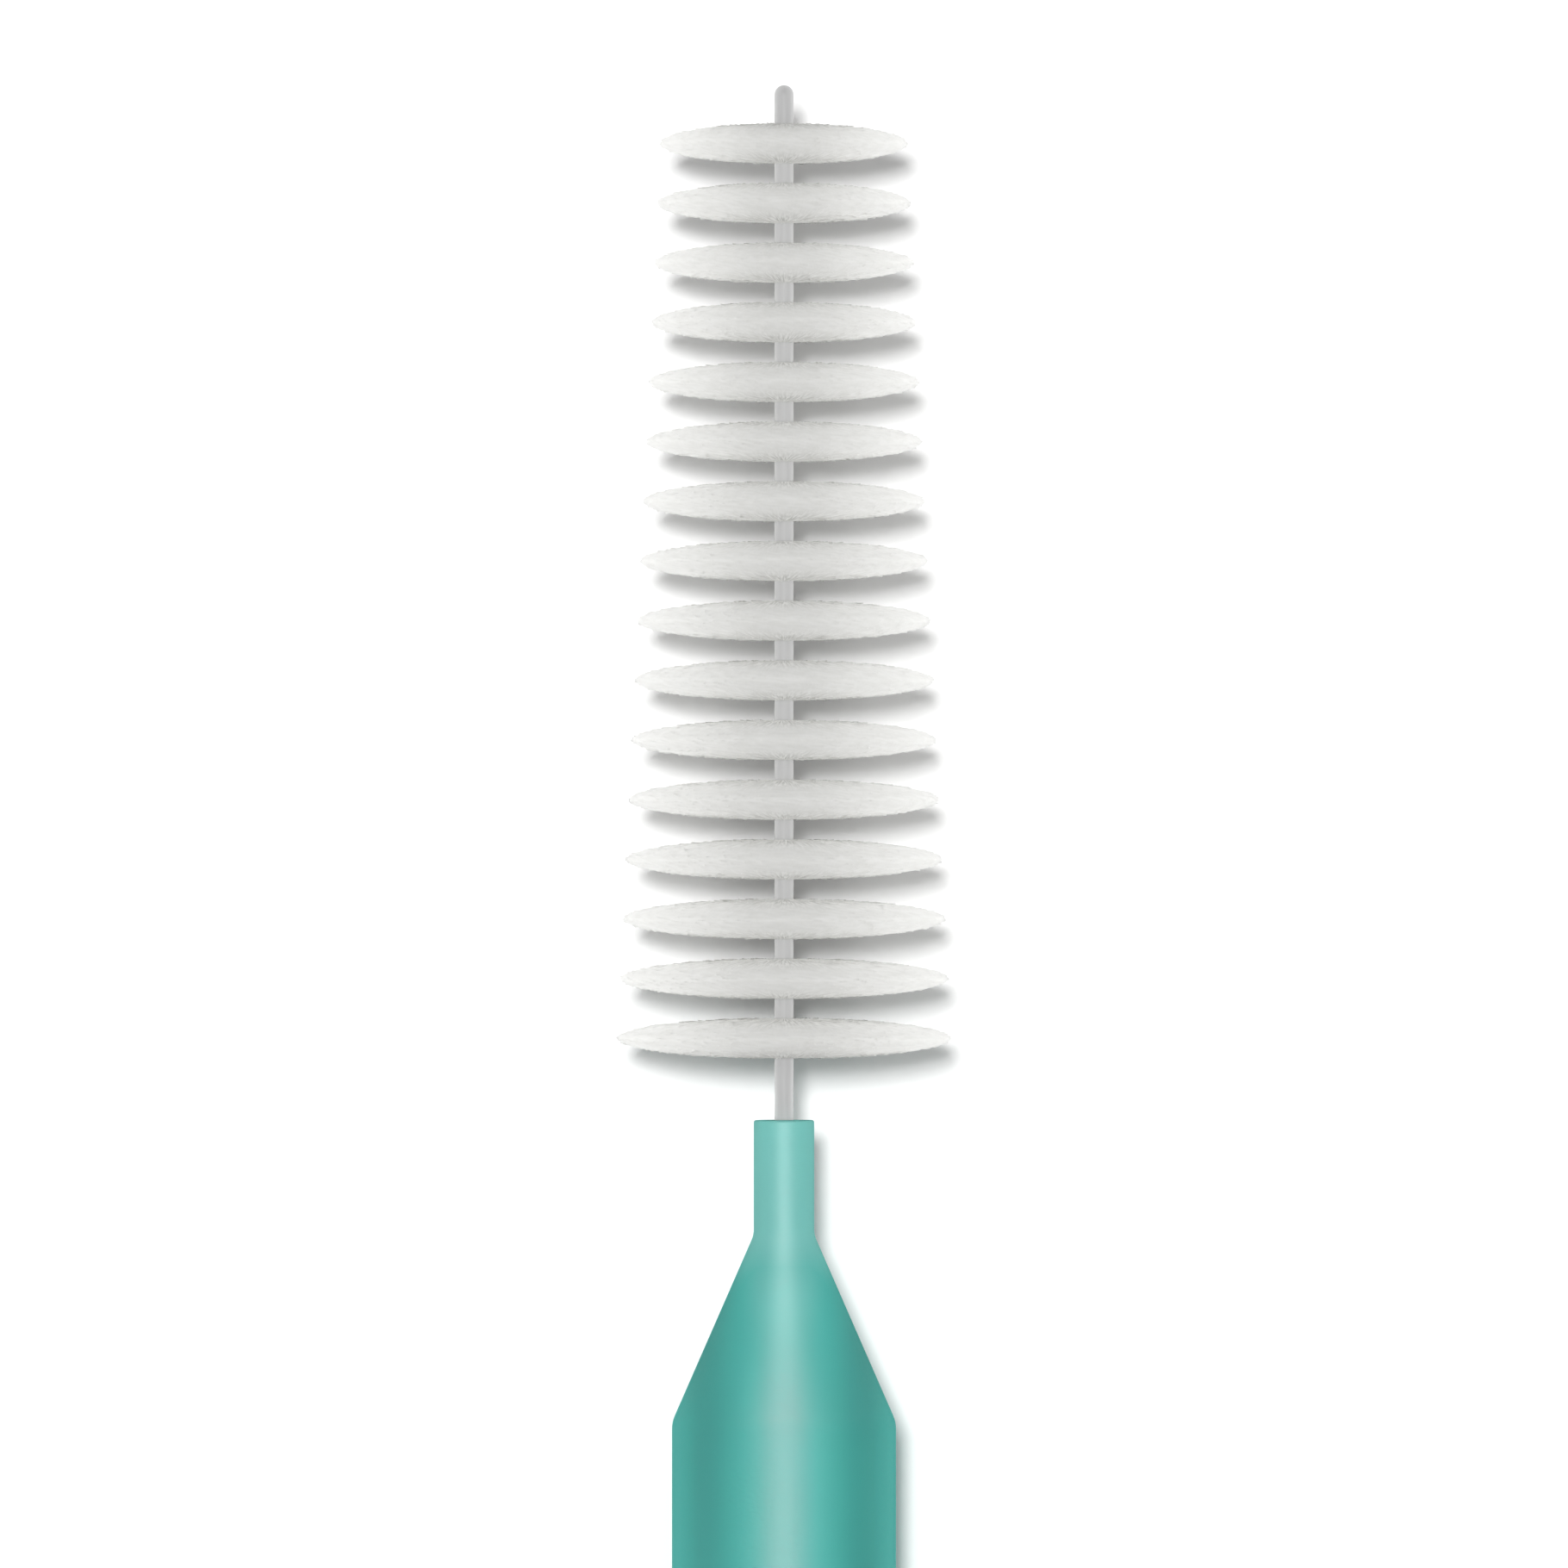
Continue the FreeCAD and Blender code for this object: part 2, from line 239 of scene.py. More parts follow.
add_node(tree, "ShaderNodeOutputMaterial", {"Surface": plastic})

# %% Material: drawn stainless steel
strand_steel, tree = new_material("drawn_stainless_steel")
place = add_node(tree, "ShaderNodeTexCoord")
# Die marks along the strand, 0.02 mm apart.
stretched = add_node(tree, "ShaderNodeMapping", {"Vector": place.outputs["Object"], "Scale": (1, 0.05, 1)})
marks = add_node(tree, "ShaderNodeTexNoise", {"Vector": stretched, "Scale": 1 / (0.02 * MM), "Detail": 2.0})
shine = add_node(tree, "ShaderNodeMapRange", {0: marks, 1: NOISE_LOW, 2: NOISE_HIGH, 3: 0.25, 4: 0.38})
tone = add_node(tree, "ShaderNodeMix", {
    0: marks, 6: linear("#B9B7B4"), 7: linear("#CBC9C5")}, data_type="RGBA")
metal = add_node(tree, "ShaderNodeBsdfPrincipled", {
    "Base Color": tone.outputs[2], "Metallic": 1.0, "Roughness": shine})
add_node(tree, "ShaderNodeOutputMaterial", {"Surface": metal})

# %% Material: nylon monofilament
bristle_nylon, tree = new_material("nylon_monofilament")
shade = add_node(tree, "ShaderNodeAttribute", attribute_name="filament_shade")
place = add_node(tree, "ShaderNodeTexCoord")
from_axis = add_node(tree, "ShaderNodeMapping", {
    "Vector": place.outputs["Object"], "Location": (0, 0, -axis_height)})
part = add_node(tree, "ShaderNodeSeparateXYZ", {0: from_axis})
# Packed filaments show as streaks that run out from the wire, without end along the radius. The streaks are
# this wide at the radius of a middling whorl.
streak_width, streak_radius = 0.06 * MM, 2.6 * MM
turn = add_node(tree, "ShaderNodeMath", {0: part.outputs["Z"], 1: part.outputs["X"]}, operation="ARCTAN2")
turn_steps = add_node(tree, "ShaderNodeMath", {
    0: turn, 1: streak_radius / streak_width}, operation="MULTIPLY")
along_steps = add_node(tree, "ShaderNodeMath", {
    0: part.outputs["Y"], 1: 1 / streak_width}, operation="MULTIPLY")
streak_place = add_node(tree, "ShaderNodeCombineXYZ", {"X": turn_steps, "Y": along_steps})
streaks = add_node(tree, "ShaderNodeTexNoise", {"Vector": streak_place, "Scale": 1.0, "Detail": 1.0})
mottle = add_node(tree, "ShaderNodeMath", {0: shade.outputs["Fac"], 1: streaks}, operation="ADD")
tint = add_node(tree, "ShaderNodeMapRange", {0: mottle, 1: 0.3, 2: 1.7})
filament = add_node(tree, "ShaderNodeMix", {
    0: tint, 6: linear("#E9E9E6"), 7: linear("#F3F3F1")}, data_type="RGBA")
# At the rim the filaments stand tip by tip. Deeper down, painted shade darkens streaks of the surface to
# #BEBEBA as gaps between them.
reach = add_node(tree, "ShaderNodeAttribute", attribute_name="reach_share")
depth = add_node(tree, "ShaderNodeMapRange", {0: reach.outputs["Fac"], 1: 0.92, 2: 0.35}, **SOFT)
painted_gap_streaks = add_node(tree, "ShaderNodeMapRange", {0: streaks, 1: 0.62, 2: 0.38, 3: 0.15, 4: 1.0})
painted_gap_shade = add_node(tree, "ShaderNodeMath", {0: painted_gap_streaks, 1: depth}, operation="MULTIPLY")
filament = add_node(tree, "ShaderNodeMix", {
    0: painted_gap_shade, 6: filament.outputs[2], 7: linear("#BEBEBA")}, data_type="RGBA")
polish = add_node(tree, "ShaderNodeMapRange", {0: streaks, 1: NOISE_LOW, 2: NOISE_HIGH, 3: 0.50, 4: 0.62})
rounds = add_node(tree, "ShaderNodeBump", {"Height": streaks, "Strength": 0.15, "Distance": 0.01 * MM})
# Packed filaments scatter light back the way it came, so a whorl looks flat and even, as a full moon does.
nylon = add_node(tree, "ShaderNodeBsdfPrincipled", {
    "Base Color": filament.outputs[2], "Roughness": polish, "IOR": 1.53, "Diffuse Roughness": 0.5,
    "Normal": rounds})
add_node(tree, "ShaderNodeOutputMaterial", {"Surface": nylon})
print("materials:", [material.name for material in bpy.data.materials if material.node_tree])

# %% [markdown]
# ## Skins of rings
# The handle and the coat are round about the axis, with some places that are not: flats, slots, a wavy
# twist. A lathe or a Screw modifier would make only the round part. Here a piece is a table of rings, one
# ring for each station, whose points may be moved before they are joined into a skin. The first and last
# ring shrink to a point, so that both ends are closed.

# %% A skin from a table of rings
def add_piece(name, mesh, material):
    """A finished mesh as a piece of the scene, smooth shaded, with its material."""
    mesh.materials.clear()
    mesh.materials.append(material)
    mesh.shade_smooth()
    piece = bpy.data.objects.new(name, mesh)
    scene.collection.objects.link(piece)
    return piece


def ring_skin(name, rings):
    """A closed mesh through an array of rings[row, column] = point, the first and last shrunk to a point."""
    rows, columns = rings.shape[0] - 2, rings.shape[1]
    points = np.vstack([rings[0, :1], rings[1:-1].reshape(-1, 3), rings[-1, :1]])
    column = np.arange(columns)
    beside = (column + 1) % columns
    last = len(points) - 1
    faces = [(0, 1 + c, 1 + n) for c, n in zip(column, beside)]
    for row in range(rows - 1):
        start, ahead = 1 + row * columns, 1 + (row + 1) * columns
        faces += [(start + c, ahead + c, ahead + n, start + n) for c, n in zip(column, beside)]
    start = 1 + (rows - 1) * columns
    faces += [(start + c, last, start + n) for c, n in zip(column, beside)]
    mesh = bpy.data.meshes.new(name)
    mesh.from_pydata(points.tolist(), [], [[int(v) for v in face] for face in faces])
    return mesh


def rounded_profile(corners, steps=5):
    """Points (y, radius) along a half section, from corners (y, radius, setback of the rounding)."""
    points = [np.array(corners[0][:2])]
    for before, (y, radius, setback), after in zip(corners, corners[1:], corners[2:]):
        corner = np.array((y, radius))
        back = np.array(before[:2]) - corner
        ahead = np.array(after[:2]) - corner
        back *= setback / np.linalg.norm(back)
        ahead *= setback / np.linalg.norm(ahead)
        # A ring beside each rounding keeps its bent shading off the straight run.
        points.append(corner + back * 1.6)
        for t in np.linspace(0, 1, steps):
            points.append(corner + back * (1 - t) ** 2 + ahead * t ** 2)
        points.append(corner + ahead * 1.6)
    points.append(np.array(corners[-1][:2]))
    return points

# %% [markdown]
# ## The handle
# The handle is one moulding: a collar that grips the wire, a cone, a round shank, a seat for a cap, and a
# grip with two flats and thumb slots. A subdivision cage would soften all its corners alike. The rings
# give each corner its own rounding, and the flats and slots are worked into the same rings.

# %% Half section of the handle
collar_radius, collar_length = 0.54 * MM, 2.05 * MM
cone_length = 3.34 * MM
shank_radius, shank_length = 2.0 * MM, 9.0 * MM
shoulder_length = 2.2 * MM
seat_radius, seat_length = 3.15 * MM, 5.0 * MM
grip_radius = handle_high.x
crown_radius, tail_rounding = 6.0 * MM, 1.8 * MM
gate_radius, gate_depth = 0.45 * MM, 0.08 * MM
bore_radius, bore_depth = 0.18 * MM, 3.01 * MM
wire_bore_radius, wire_bore_depth = 0.135 * MM, 14.06 * MM

collar_start = mouth_y - collar_length
cone_start = collar_start - cone_length
shank_start = cone_start - shank_length
seat_end = shank_start - shoulder_length
grip_end = seat_end - seat_length

# The tail: a small sunk gate mark in the middle, a shallow crown, and a rounded edge.
gate_floor = tail_y + crown_radius - math.sqrt(crown_radius**2 - gate_radius**2) + gate_depth
section = [(gate_floor, 0.0), (gate_floor, 0.5 * gate_radius), (gate_floor, 0.8 * gate_radius)]
edge_out = grip_radius - tail_rounding
meeting_angle = math.asin(edge_out / (crown_radius - tail_rounding))
for angle in np.linspace(math.asin(gate_radius / crown_radius), meeting_angle, 14):
    section.append((tail_y + crown_radius * (1 - math.cos(angle)), crown_radius * math.sin(angle)))
edge_y = tail_y + crown_radius - (crown_radius - tail_rounding) * math.cos(meeting_angle)
for angle in np.linspace(meeting_angle, math.pi / 2, 14)[1:]:
    section.append((edge_y - tail_rounding * math.cos(angle), edge_out + tail_rounding * math.sin(angle)))

# %% Rings of the grip, close together where the slots are
slot_count, slot_pitch, first_slot = 9, 1.7 * MM, 3.2 * MM
slot_width, slot_depth, slot_half_length = 0.9 * MM, 0.35 * MM, 1.5 * MM
slot_places = [grip_end - first_slot - number * slot_pitch for number in range(slot_count)]
slots_start, slots_end = slot_places[-1] - slot_width, slot_places[0] + slot_width
for y in np.arange(edge_y, slots_start, 0.6 * MM)[1:]:
    section.append((y, grip_radius))
for y in np.linspace(slots_start, slots_end, 170):
    section.append((y, grip_radius))
section += rounded_profile([
    (slots_end + 0.3 * MM, grip_radius, 0),
    (grip_end, grip_radius, 0.30 * MM),
    (grip_end, seat_radius, 0.08 * MM),
    (seat_end, seat_radius, 0.25 * MM),
    (shank_start, shank_radius, 0.35 * MM),
    (cone_start, shank_radius, 0.12 * MM),
    (collar_start, collar_radius, 0.10 * MM),
    (mouth_y, collar_radius, 0.05 * MM),
    (mouth_y, bore_radius, 0.015 * MM),
    (mouth_y - bore_depth, bore_radius, 0.01 * MM),
    (mouth_y - bore_depth, wire_bore_radius, 0.01 * MM),
    (mouth_y - wire_bore_depth, wire_bore_radius, 0.01 * MM),
    (mouth_y - wire_bore_depth, 0, 0),
])
section = np.array(section)
print(f"handle section: {len(section)} rings, grip ends at {grip_end / MM:.3f} mm")

# %% [markdown]
# The flats cut the round grip at half the handle's height, so a ring point goes no further from the axis
# than the flat allows. A smooth minimum rounds the edge where the two meet. Columns stand closer together
# there, and at the two sides, where a mould leaves its fine parting line. The slots sink the flats by a
# depth that falls off round each slot's outline.

# %% Flats, parting line and thumb slots
flat_edge = math.degrees(math.asin(axis_height / grip_radius))
quarter = np.concatenate([
    [0.0, 0.35, 0.7, 1.2],
    np.linspace(2.5, flat_edge - 4.0, 18),
    np.linspace(flat_edge - 3.5, flat_edge + 3.5, 15),
    np.linspace(flat_edge + 4.5, 90.0, 24),
])
half = np.concatenate([quarter, 180.0 - quarter[-2::-1]])
angles = np.radians(np.concatenate([half, half[1:-1] + 180.0]))
flat_rounding = 0.12 * MM

stations, turned = section[:, :1], section[:, 1:]
limit = axis_height / np.maximum(np.abs(np.sin(angles)), 1e-6)[None, :]
overlap = np.maximum(flat_rounding - np.abs(turned - limit), 0.0)
edge_cut = np.where(turned > 0.5 * axis_height, overlap**2 / (4 * flat_rounding), 0.0)
reach = np.minimum(turned, limit) - edge_cut
# The parting line is a groove, a two-hundredth of the local radius deep. The bore's rings have none.
parting_share, parting_half_angle, bore_rings = 0.005, 0.7, 30
side = np.abs((np.degrees(angles) + 90.0) % 180.0 - 90.0)
outside = (np.arange(len(section)) < len(section) - bore_rings)[:, None]
reach = reach * (1.0 - outside * parting_share * np.clip(1.0 - side / parting_half_angle, 0.0, 1.0)[None, :])

x, z = reach * np.cos(angles), reach * np.sin(angles)
y = np.broadcast_to(stations, x.shape).copy()
off_centre = np.maximum(np.abs(x) - (slot_half_length - slot_width / 2), 0.0)
# A slot's wall slopes over this width, most of it inside the outline.
slot_lip, lip_inside = 0.20 * MM, 0.16 * MM
sink = np.zeros_like(x)
for slot_y in slot_places:
    outline = np.hypot(off_centre, y - slot_y) - slot_width / 2
    t = np.clip((outline + lip_inside) / slot_lip, 0.0, 1.0)
    sink = np.maximum(sink, slot_depth * (1.0 - t * t * (3.0 - 2.0 * t)))
flat_margin = 0.3 * MM
on_flat = np.abs(z) > axis_height - flat_margin
z = np.where(on_flat, np.sign(z) * (np.abs(z) - sink), z)

handle_mesh = ring_skin("moulded_handle", np.stack([x, y, z + axis_height], axis=-1))
handle = add_piece("moulded_handle", handle_mesh, handle_plastic)
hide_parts("handle")
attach(handle, "handle")
print(f"handle: {len(handle_mesh.polygons)} faces")

# %% [markdown]
# ## The coated wire
# The coat is a thin skin drawn over two twisted strands. It is almost smooth, but the two strands press
# through as a faint two-start wave along the rod. It ends in a half sphere at the tip.

# %% Coat with a faint twist and a rounded tip
twist_pitch = 2.13 * MM
twist_relief = 0.006 * MM
ring_step, fade_length = 0.06 * MM, 0.4 * MM
coat_start = coat_low.y
dome_start = tip_y - coat_radius
coat_section = [(coat_start, 0.0), (coat_start, 0.7 * coat_radius), (coat_start, coat_radius)]
coat_section += [(y, coat_radius) for y in np.arange(coat_start, dome_start, ring_step)[1:]]
for angle in np.linspace(0, math.pi / 2, 10):
    coat_section.append((dome_start + coat_radius * math.sin(angle), coat_radius * math.cos(angle)))
coat_section = np.array(coat_section)
coat_section[-1, 1] = 0.0
around = np.radians(np.arange(0, 360, 12.0))
wave = np.cos(2 * around[None, :] - 4 * math.pi * coat_section[:, :1] / twist_pitch) - 1.0
fade = np.clip((dome_start - coat_section[:, :1]) / fade_length, 0.0, 1.0)
reach = coat_section[:, 1:] + np.where(coat_section[:, 1:] > 0, 0.5 * twist_relief * wave * fade, 0.0)
coat_rings = np.stack([reach * np.cos(around), np.broadcast_to(coat_section[:, :1], reach.shape),
                       reach * np.sin(around) + axis_height], axis=-1)
coat_mesh = ring_skin("coated_wire", coat_rings)
coat = add_piece("coated_wire", coat_mesh, coat_plastic)
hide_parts("wire_coating")
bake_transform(coat)

# %% [markdown]
# ## The twisted strand
# Inside the coat one steel strand runs up, folds at the tip and comes down again, the two legs twisted
# about each other. That is a route followed by a round section, which is what Curve to Mesh does. A spiral
# makes one leg, the same spiral turned by half a turn makes the other, and an arc makes the fold.

# %% Geometry Nodes: two twisted legs and their fold
def new_tree(name, sockets):
    """A Geometry Nodes tree with named inputs and one geometry output."""
    tree = bpy.data.node_groups.new(name, "GeometryNodeTree")
    for socket_name, socket_type in sockets.items():
        tree.interface.new_socket(socket_name, in_out="INPUT", socket_type=socket_type)
    tree.interface.new_socket("Geometry", in_out="OUTPUT", socket_type="NodeSocketGeometry")
    return tree, tree.nodes.new("NodeGroupInput").outputs


def grown_mesh(name, tree, values):
    """The mesh that a Geometry Nodes tree makes with these input values."""
    carrier = bpy.data.objects.new(name, bpy.data.meshes.new(name))
    scene.collection.objects.link(carrier)
    growth = carrier.modifiers.new("growth", "NODES")
    growth.node_group = tree
    for item in tree.interface.items_tree:
        if item.in_out == "INPUT":
            growth[item.identifier] = values[item.name]
    evaluated = carrier.evaluated_get(bpy.context.evaluated_depsgraph_get())
    mesh = bpy.data.meshes.new_from_object(evaluated)
    mesh.name = name
    carrier.modifiers.remove(growth)
    bpy.data.objects.remove(carrier)
    return mesh


wire_low, wire_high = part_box("core_wire")
strand_radius = 0.06 * MM
leg_offset = (wire_high.x - wire_low.x) / 2 - strand_radius
fold_y = wire_high.y - strand_radius - leg_offset
leg_length = fold_y - wire_low.y - strand_radius

tree, given = new_tree("twisted_strand", {
    "Leg Offset": "NodeSocketFloat", "Leg Length": "NodeSocketFloat", "Turns": "NodeSocketFloat",
    "Strand Radius": "NodeSocketFloat", "Start": "NodeSocketVector", "Material": "NodeSocketMaterial"})
leg = add_node(tree, "GeometryNodeCurveSpiral", {
    "Resolution": 24, "Rotations": given["Turns"], "Start Radius": given["Leg Offset"],
    "End Radius": given["Leg Offset"], "Height": given["Leg Length"]})
other_leg = add_node(tree, "GeometryNodeTransform", {"Geometry": leg, "Rotation": (0, 0, math.pi)})
top = add_node(tree, "ShaderNodeCombineXYZ", {"Z": given["Leg Length"]})
arch = add_node(tree, "GeometryNodeCurveArc", {
    "Resolution": 12, "Radius": given["Leg Offset"], "Sweep Angle": math.pi}, mode="RADIUS")
last_turn = add_node(tree, "ShaderNodeMath", {0: given["Turns"], 1: 2 * math.pi}, operation="MULTIPLY")
turned_top = add_node(tree, "ShaderNodeCombineXYZ", {"X": math.pi / 2, "Z": last_turn})
fold = add_node(tree, "GeometryNodeTransform", {
    "Geometry": arch, "Translation": top, "Rotation": turned_top})
route = add_node(tree, "GeometryNodeJoinGeometry", {"Geometry": leg})
tree.links.new(other_leg.outputs[0], route.inputs[0])
tree.links.new(fold.outputs[0], route.inputs[0])
ring = add_node(tree, "GeometryNodeCurvePrimitiveCircle", {
    "Resolution": 10, "Radius": given["Strand Radius"]})
strand = add_node(tree, "GeometryNodeCurveToMesh", {
    "Curve": route, "Profile Curve": ring, "Fill Caps": True})
# The spiral grows along Z, and the brush lies along Y.
lying = add_node(tree, "GeometryNodeTransform", {
    "Geometry": strand, "Translation": given["Start"], "Rotation": (-math.pi / 2, 0, 0)})
real = add_node(tree, "GeometryNodeRealizeInstances", {"Geometry": lying})
finished = add_node(tree, "GeometryNodeSetMaterial", {"Geometry": real, "Material": given["Material"]})
add_node(tree, "NodeGroupOutput", {"Geometry": finished})

strand_mesh = grown_mesh("twisted_strand", tree, {
    "Leg Offset": leg_offset, "Leg Length": leg_length, "Turns": leg_length / twist_pitch,
    "Strand Radius": strand_radius, "Start": (0, fold_y - leg_length, axis_height), "Material": strand_steel})
strand_piece = add_piece("twisted_strand", strand_mesh, strand_steel)
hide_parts("core_wire")
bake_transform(strand_piece)
print(f"strand: {len(strand_mesh.polygons)} faces, {leg_length / twist_pitch:.1f} turns")

# %% [markdown]
# ## The bristle whorls
# Each whorl is a dense tuft of nylon filaments that stand out from the wire all round, cut so that together
# they fill a lens. Drawing every one would take millions of faces. One filament is drawn once, with a
# rounded tip, and Geometry Nodes set some two thousand of it on points along the wire. A solid lens of the
# same nylon, just inside the tips, stands for those packed between them. Two irrational steps spread the
# filaments evenly over the angle and over the thickness, and small random leanings, with a fixed seed, keep
# them from looking combed.

# %% Geometry Nodes: one whorl of filaments
tree, given = new_tree("bristle_whorl", {
    "Count": "NodeSocketInt", "Whorl Radius": "NodeSocketFloat", "Half Thickness": "NodeSocketFloat",
    "Root Radius": "NodeSocketFloat", "Packed Share": "NodeSocketFloat", "Filament Radius": "NodeSocketFloat",
    "Lean": "NodeSocketFloat", "Softness": "NodeSocketFloat", "Centre": "NodeSocketVector",
    "Seed": "NodeSocketInt", "Material": "NodeSocketMaterial"})
# Powers of 1 over the root of x cubed = x + 1: two steps whose multiples never line up with each other.
ANGLE_STEP, LEVEL_STEP = 0.7548776662, 0.5698402910
# Tips stop just inside the faces of the lens, and roots stand closer together than tips.
FACE_SHARE, ROOT_SHARE = 0.985, 0.6
number = add_node(tree, "GeometryNodeInputIndex")
angle_steps = add_node(tree, "ShaderNodeMath", {0: number, 1: ANGLE_STEP}, operation="MULTIPLY")
angle_share = add_node(tree, "ShaderNodeMath", {0: angle_steps}, operation="FRACT")
angle = add_node(tree, "ShaderNodeMath", {0: angle_share, 1: 2 * math.pi}, operation="MULTIPLY")
level_steps = add_node(tree, "ShaderNodeMath", {0: number, 1: LEVEL_STEP}, operation="MULTIPLY")
level_share = add_node(tree, "ShaderNodeMath", {0: level_steps}, operation="FRACT")
even_level = add_node(tree, "ShaderNodeMath", {0: level_share, 1: 2.0, 2: -1.0}, operation="MULTIPLY_ADD")
# A mixed power sends part of the filaments to the two faces of the lens, and leaves the rest for its rim.
face_side = add_node(tree, "ShaderNodeMath", {0: even_level}, operation="SIGN")
depth = add_node(tree, "ShaderNodeMath", {0: even_level}, operation="ABSOLUTE")
power = add_node(tree, "FunctionNodeRandomValue", {2: 0.35, 3: 1.25, "Seed": given["Seed"]})
spread = add_node(tree, "ShaderNodeMath", {0: depth, 1: power.outputs[1]}, operation="POWER")
kept = add_node(tree, "ShaderNodeMath", {0: spread, 1: FACE_SHARE}, operation="MULTIPLY")
level = add_node(tree, "ShaderNodeMath", {0: kept, 1: face_side}, operation="MULTIPLY")

# The lens: at a level s of the half thickness, filaments reach the root of 1 - s squared of the radius.
squared = add_node(tree, "ShaderNodeMath", {0: level, 1: level}, operation="MULTIPLY")
rest = add_node(tree, "ShaderNodeMath", {0: 1.0, 1: squared}, operation="SUBTRACT")
outline = add_node(tree, "ShaderNodeMath", {0: rest}, operation="SQRT")
trim = add_node(tree, "FunctionNodeRandomValue", {2: 0.98, 3: 1.0, "Seed": given["Seed"]})
cut = add_node(tree, "ShaderNodeMath", {0: outline, 1: trim.outputs[1]}, operation="MULTIPLY")
reach = add_node(tree, "ShaderNodeMath", {0: cut, 1: given["Whorl Radius"]}, operation="MULTIPLY")
tip_level = add_node(tree, "ShaderNodeMath", {0: level, 1: given["Half Thickness"]}, operation="MULTIPLY")
scatter = add_node(tree, "FunctionNodeRandomValue", {2: -0.22, 3: 0.22, "Seed": given["Seed"]})
root_share = add_node(tree, "ShaderNodeMath", {
    0: level, 1: ROOT_SHARE, 2: scatter.outputs[1]}, operation="MULTIPLY_ADD")
root_level = add_node(tree, "ShaderNodeMath", {
    0: root_share, 1: given["Half Thickness"]}, operation="MULTIPLY")

# Root and tip of each filament, and the line between them.
cosine = add_node(tree, "ShaderNodeMath", {0: angle}, operation="COSINE")
sine = add_node(tree, "ShaderNodeMath", {0: angle}, operation="SINE")
outward = add_node(tree, "ShaderNodeCombineXYZ", {"X": cosine, "Z": sine})
root_out = add_node(tree, "ShaderNodeVectorMath", {0: outward, 3: given["Root Radius"]}, operation="SCALE")
tip_out = add_node(tree, "ShaderNodeVectorMath", {0: outward, 3: reach}, operation="SCALE")
root_along = add_node(tree, "ShaderNodeCombineXYZ", {"Y": root_level})
tip_along = add_node(tree, "ShaderNodeCombineXYZ", {"Y": tip_level})
root = add_node(tree, "ShaderNodeVectorMath", {0: root_out, 1: root_along}, operation="ADD")
tip = add_node(tree, "ShaderNodeVectorMath", {0: tip_out, 1: tip_along}, operation="ADD")
line = add_node(tree, "ShaderNodeVectorMath", {0: tip, 1: root}, operation="SUBTRACT")
length = add_node(tree, "ShaderNodeVectorMath", {0: line}, operation="LENGTH")

# One filament of unit length: thin rings gather at the rounded tip.
BUNCHING, TIP_STEEPNESS, TIP_GIRTH = 3.5, 50.0, 0.3
stem = add_node(tree, "GeometryNodeCurvePrimitiveLine", {"Start": (0, 0, 0), "End": (0, 0, 1)})
beads = add_node(tree, "GeometryNodeResampleCurve", {"Curve": stem, "Count": 4})
share = add_node(tree, "GeometryNodeSplineParameter")
left = add_node(tree, "ShaderNodeMath", {0: 1.0, 1: share.outputs["Factor"]}, operation="SUBTRACT")
bunched = add_node(tree, "ShaderNodeMath", {0: left, 1: BUNCHING}, operation="POWER")
climb = add_node(tree, "ShaderNodeMath", {0: 1.0, 1: bunched}, operation="SUBTRACT")
bead_place = add_node(tree, "ShaderNodeCombineXYZ", {"Z": climb})
gathered = add_node(tree, "GeometryNodeSetPosition", {"Geometry": beads, "Position": bead_place})
noted = add_node(tree, "GeometryNodeStoreNamedAttribute", {
    "Geometry": gathered, "Name": "along_filament", "Value": climb}, data_type="FLOAT", domain="POINT")
steep = add_node(tree, "ShaderNodeMath", {0: climb, 1: TIP_STEEPNESS}, operation="POWER")
taper = add_node(tree, "ShaderNodeMath", {0: 1.0, 1: steep}, operation="SUBTRACT")
dome = add_node(tree, "ShaderNodeMath", {0: taper}, operation="SQRT")
girth = add_node(tree, "ShaderNodeMath", {0: dome, 1: TIP_GIRTH}, operation="MAXIMUM")
profile = add_node(tree, "GeometryNodeCurvePrimitiveCircle", {"Resolution": 4, "Radius": 1.0})
one_filament = add_node(tree, "GeometryNodeCurveToMesh", {
    "Curve": noted, "Profile Curve": profile, "Scale": girth, "Fill Caps": True})

# Set it on the roots, turn it along its line, and lean it a little towards its tip.
roots = add_node(tree, "GeometryNodePoints", {"Count": given["Count"], "Position": root})
facing = add_node(tree, "FunctionNodeAlignRotationToVector", {"Vector": line}, axis="Z")
size = add_node(tree, "ShaderNodeCombineXYZ", {
    "X": given["Filament Radius"], "Y": given["Filament Radius"], "Z": length.outputs["Value"]})
planted = add_node(tree, "GeometryNodeInstanceOnPoints", {
    "Points": roots, "Instance": one_filament, "Rotation": facing, "Scale": size})
lot = add_node(tree, "FunctionNodeRandomValue", {2: 0.0, 3: 1.0, "Seed": given["Seed"]})
shaded = add_node(tree, "GeometryNodeStoreNamedAttribute", {
    "Geometry": planted, "Name": "filament_shade", "Value": lot.outputs[1]},
    data_type="FLOAT", domain="INSTANCE")
leaning = add_node(tree, "FunctionNodeRandomValue", {
    0: (-1, -1, -1), 1: (1, 1, 1), "Seed": given["Seed"]}, data_type="FLOAT_VECTOR")
pointed = add_node(tree, "GeometryNodeStoreNamedAttribute", {
    "Geometry": shaded, "Name": "filament_way", "Value": outward},
    data_type="FLOAT_VECTOR", domain="INSTANCE")
leant = add_node(tree, "GeometryNodeStoreNamedAttribute", {
    "Geometry": pointed, "Name": "lean", "Value": leaning.outputs[0]},
    data_type="FLOAT_VECTOR", domain="INSTANCE")
real = add_node(tree, "GeometryNodeRealizeInstances", {"Geometry": leant})
